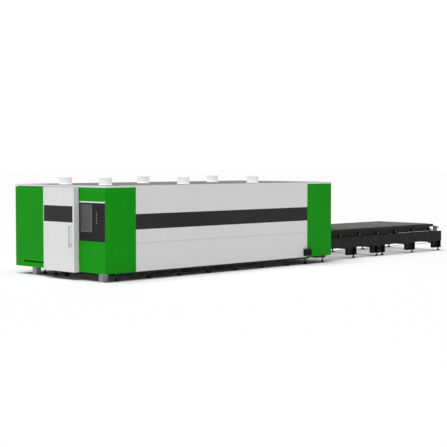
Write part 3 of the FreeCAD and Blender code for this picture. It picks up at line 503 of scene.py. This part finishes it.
def pallet_wheels(node, body, materials):
    """Turned steel wheels with a tread, a recessed web, a sealed bearing and a dark axle end."""
    build = Builder(node + "_turned")
    solids = islands(node)
    centre_y = sum(middle(*pair).y for pair in solids) / len(solids)
    for low, high in solids:
        radius = (high.z - low.z) / 2
        outwards = -1 if middle(low, high).y < centre_y else 1
        outer = low.y if outwards < 0 else high.y
        width = high.y - low.y
        centre = Vector((middle(low, high).x, outer, middle(low, high).z))
        axis = (0, -outwards, 0)
        hub = radius * 0.46
        build.lathe(centre, axis, [(0.0040, hub * 0.9), (0.0040, radius * 0.80),
                                   (0.0042, radius * 0.96), (0.0060, radius), (0.0400, radius),
                                   (0.0418, radius * 0.96), (0.0418, radius * 0.5)], 40)
        build.lathe(centre, axis, [(0.0005, hub * 0.45), (0.0, hub * 0.72), (0.0015, hub),
                                   (0.0045, hub)], 28, 1)
        build.lathe(centre, axis, [(0.0410, hub * 0.66), (width, hub * 0.66)], 20, 1)
        build.lathe(centre, axis, [(0.0, hub * 0.30), (0.0, hub * 0.34), (0.003, hub * 0.4)], 6, 2)
    layers = [materials["black_paint"], materials["dark_steel"], materials["black_plastic"]]
    build.finish(layers, body, [node], smooth=30)


def levelling_feet(node, materials):
    """Splayed pads, threaded stems and hexagon lock nuts."""
    build = Builder(node + "_threaded")
    for low, high in islands(node):
        centre = Vector((middle(low, high).x, middle(low, high).y, low.z))
        pad = (high.x - low.x) / 2
        top = high.z - low.z
        build.lathe(centre, (0, 0, 1), [(0, pad * 0.94), (0.003, pad), (0.010, pad),
                                        (0.015, pad * 0.9), (0.026, pad * 0.58),
                                        (0.034, pad * 0.45), (0.036, pad * 0.36)], 36)
        build.lathe(centre + Vector((0, 0, 0.036)), (0, 0, 1), [(0, 0.027), (0.012, 0.027)], 6)
        thread = []
        along = 0.048
        while along < top - 0.001:
            thread += [(along, 0.0200), (along + 0.0016, 0.0182)]
            along += 0.0032
        build.lathe(centre, (0, 0, 1), thread, 18, 1)
        build.lathe(centre + Vector((0, 0, top - 0.022)), (0, 0, 1),
                    [(0, 0.030), (0.0015, 0.034), (0.0185, 0.034), (0.020, 0.030)], 6, 1)
    build.finish([materials["black_paint"], materials["dark_steel"]], "machine",
                 [node], smooth=35)


def collar_bolts(materials):
    """Eight bolts round each extraction collar's flange."""
    build = Builder("collar_bolts")
    for low, high in islands("duct_collars"):
        centre = middle(low, high)
        radius = (high.x - low.x) / 2 - 0.011
        for k in range(8):
            angle = 2 * math.pi * (k + 0.5) / 8
            place = Vector((centre.x + radius * math.cos(angle),
                            centre.y + radius * math.sin(angle), low.z + 0.003))
            build.bolt(place, (0, 0, 1), 0.006)
    build.finish([materials["ground_steel"]], "machine", smooth=30)


def cover_screws(materials):
    """Button-head screws along the edges of the side panels, rear panels and end header."""
    build = Builder("cover_screws")
    spots = []
    for low, high in islands("side_panels"):
        count = 12
        for k in range(count + 1):
            x = low.x + 0.03 + (high.x - low.x - 0.06) * k / count
            for z in (low.z + 0.018, high.z - 0.018):
                spots.append((Vector((x, low.y, z)), (0, -1, 0)))
    for low, high in islands("rear_panels"):
        for k in range(5):
            z = low.z + 0.04 + (high.z - low.z - 0.08) * k / 4
            for x in (low.x + 0.02, high.x - 0.02):
                spots.append((Vector((x, high.y, z)), (0, 1, 0)))
    low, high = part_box("end_header")
    for k in range(6):
        y = low.y + 0.05 + (high.y - low.y - 0.1) * k / 5
        for z in (low.z + 0.02, high.z - 0.02):
            spots.append((Vector((high.x, y, z)), (1, 0, 0)))
    for place, axis in spots:
        build.lathe(place, axis, [(0, 0.0060), (0.0012, 0.0058), (0.0024, 0.0040),
                                  (0.0028, 0.0018)], 14)
    build.finish([materials["ground_steel"]], "machine", smooth=40)


def leg_bolts(materials):
    """Bolts on each table leg's outer face, and a row along each long side beam."""
    build = Builder("leg_bolts")
    table_middle = middle(*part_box("table_side_beams")).y
    for low, high in islands("table_supports"):
        if high.z - low.z < 0.18 or high.x - low.x < 0.2:
            continue
        outwards = -1 if middle(low, high).y < table_middle else 1
        face = low.y + 0.008 if outwards < 0 else high.y - 0.008
        for x in (low.x + 0.035, high.x - 0.035):
            for z in (low.z + 0.075, high.z - 0.03):
                build.bolt(Vector((x, face, z)), (0, outwards, 0), 0.011)
    for low, high in islands("table_side_beams"):
        if high.x - low.x < 1:
            continue
        outwards = -1 if middle(low, high).y < table_middle else 1
        face = low.y if outwards < 0 else high.y
        count = 14
        for k in range(count):
            x = low.x + 0.5 + (high.x - low.x - 0.8) * k / (count - 1)
            build.bolt(Vector((x, face, high.z - 0.05)), (0, outwards, 0), 0.010)
    build.finish([materials["dark_steel"]], "machine", smooth=30)


def roller_chains(node, materials):
    """Closed roller chains: link plates in pairs, with a roller at each pin."""
    build = Builder(node + "_linked")
    shaft_x = middle(*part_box("drive_shaft")).x
    idler_x = middle(*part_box("idler_shaft")).x
    for low, high in islands(node):
        radius = (high.z - low.z) / 2 - 0.007
        centre_z = middle(low, high).z
        run = idler_x - shaft_x
        loop = 2 * run + 2 * math.pi * radius
        count = 2 * round(loop / CHAIN_PITCH / 2)
        step = loop / count

        def place(along):
            along %= loop
            if along < run:
                return Vector((shaft_x + along, 0, centre_z + radius))
            along -= run
            if along < math.pi * radius:
                turn = along / radius
                return Vector((idler_x + radius * math.sin(turn), 0,
                               centre_z + radius * math.cos(turn)))
            along -= math.pi * radius
            if along < run:
                return Vector((idler_x - along, 0, centre_z - radius))
            turn = (along - run) / radius
            return Vector((shaft_x - radius * math.sin(turn), 0,
                           centre_z - radius * math.cos(turn)))

        mid_y = middle(low, high).y
        for k in range(count):
            a, b = place(k * step), place((k + 1) * step)
            build.lathe(Vector((a.x, mid_y - 0.0045, a.z)), (0, 1, 0),
                        [(0, 0.0052), (0.009, 0.0052)], 8, 1)
            along = (b - a).normalized()
            side = along.cross(Vector((0, 1, 0)))
            inset = 0.0046 if k % 2 else 0.0060
            for sign in (-1, 1):
                y0 = mid_y + sign * inset
                points = []
                for y in (y0 - 0.0006, y0 + 0.0006):
                    for end, reach in ((a, -1), (b, 1)):
                        for tilt in (-1, 1):
                            p = end + along * reach * 0.006 + side * tilt * 0.0062
                            points.append(Vector((p.x, y, p.z)))
                build.add(points, BOX_FACES)
    build.finish([materials["dark_steel"], materials["bright_steel"]], "machine",
                 [node])


def display_screen(materials):
    """The display's glass with plain fields of grey where a program's windows would be."""
    low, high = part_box("display")
    face = low.x
    build = Builder("display_screen")
    width = high.y - low.y
    height = high.z - low.z

    def field(left, bottom, right, top, slot, proud=0.0006):
        build.block((face - proud, low.y + width * left, low.z + height * bottom),
                    (face, low.y + width * right, low.z + height * top), slot)

    field(0.02, 0.015, 0.98, 0.985, 0, 0.0004)
    field(0.03, 0.02, 0.10, 0.98, 2)
    field(0.10, 0.02, 0.97, 0.05, 2)
    field(0.12, 0.07, 0.95, 0.52, 1)
    tones = [materials["screen_glass"], materials["screen_dark"], materials["screen_light"]]
    build.finish(tones, "machine")


def button_rings(materials):
    """A thin dark steel ring round each push button."""
    build = Builder("button_rings")
    panel_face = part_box("light_strip")[1].x
    for k in range(1, 6):
        low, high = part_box(f"panel_button_{k}")
        centre = middle(low, high)
        outer = (high.z - low.z) / 2 + 0.0052
        build.lathe(Vector((panel_face - 0.0008, centre.y, centre.z)), (-1, 0, 0),
                    [(-0.0004, outer + 0.0022), (0.0006, outer + 0.0020),
                     (0.0010, outer + 0.0006)], 32)
    build.finish([materials["dark_steel"]], "machine", smooth=30)


def door_seal(materials):
    """A light rubber strip on the door's back that closes the gap to the cover."""
    low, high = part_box("door_leaf")
    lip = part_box("left_cover")[0].x - 0.0015
    build = Builder("door_seal")
    y = low.y + 0.002
    back = high.x
    profile = [(back, y), (lip, y + 0.001), (lip, y + 0.007), (back, y + 0.022)]
    points = [(x, y, z) for z in (low.z + 0.01, high.z - 0.012) for x, y in profile]
    faces = [(0, 1, 2, 3), (7, 6, 5, 4), (0, 4, 5, 1), (1, 5, 6, 2), (2, 6, 7, 3), (3, 7, 4, 0)]
    build.add(points, faces)
    build.finish([materials["seal_rubber"]], "door", bevel=0.0008)


def gearmotor_details(materials):
    """Cover bolts and cooling ribs on the exchange drive's housing."""
    low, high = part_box("exchange_gearmotor")
    build = Builder("gearmotor_details")
    for x in (low.x + 0.03, high.x - 0.03):
        for z in (low.z + 0.03, high.z - 0.03):
            build.bolt(Vector((x, low.y, z)), (0, -1, 0), 0.007)
    count = 9
    for k in range(count):
        x = low.x + 0.07 + (high.x - low.x - 0.14) * k / (count - 1)
        build.block((x - 0.002, low.y - 0.006, low.z + 0.045),
                    (x + 0.002, low.y, high.z - 0.045), 1)
    build.finish([materials["dark_steel"], materials["motor_black"]], "machine",
                 smooth=30)


def stop_absorbers(materials):
    """Bright sleeves over the shock absorbers at the table's end."""
    build = Builder("stop_absorbers")
    for low, high in islands("end_stops"):
        z = low.z + 0.041
        y = low.y + 0.025
        build.lathe(Vector((low.x - 0.001, y, z)), (1, 0, 0),
                    [(0, 0.012), (0.004, 0.017), (0.012, 0.0206), (0.115, 0.0206),
                     (0.118, 0.0202)], 28)
    build.finish([materials["bright_steel"]], "machine", smooth=30)


def bevel_cad_nodes():
    """A small rounding on the folded and machined edges of CAD nodes that show."""
    widths = {"door_leaf": 0.0012, "roof_trim": 0.003, "console_cover": 0.0008,
              "left_cover": 0.0008, "end_column_covers": 0.0008, "side_panels": 0.0008,
              "table_side_beams": 0.002, "front_pedestals": 0.002, "gantry_beam": 0.004,
              "carriage": 0.002, "cutting_head": 0.003, "gantry_end_blocks": 0.002,
              "z_slide": 0.002, "display": 0.001}
    for node, width in widths.items():
        round_edges(frame["nodes"][node], width)


def main():
    add_camera()
    add_studio()
    materials = make_materials()
    dress_cad_nodes(materials)
    for level in ("upper", "lower"):
        body = level + "_pallet"
        toothed_slats(body + "_slats", body, materials)
        pallet_wheels(body + "_wheels", body, materials)
    levelling_feet("machine_feet", materials)
    levelling_feet("table_feet", materials)
    collar_bolts(materials)
    cover_screws(materials)
    leg_bolts(materials)
    roller_chains("drive_chains", materials)
    display_screen(materials)
    button_rings(materials)
    door_seal(materials)
    gearmotor_details(materials)
    stop_absorbers(materials)
    bevel_cad_nodes()


main()
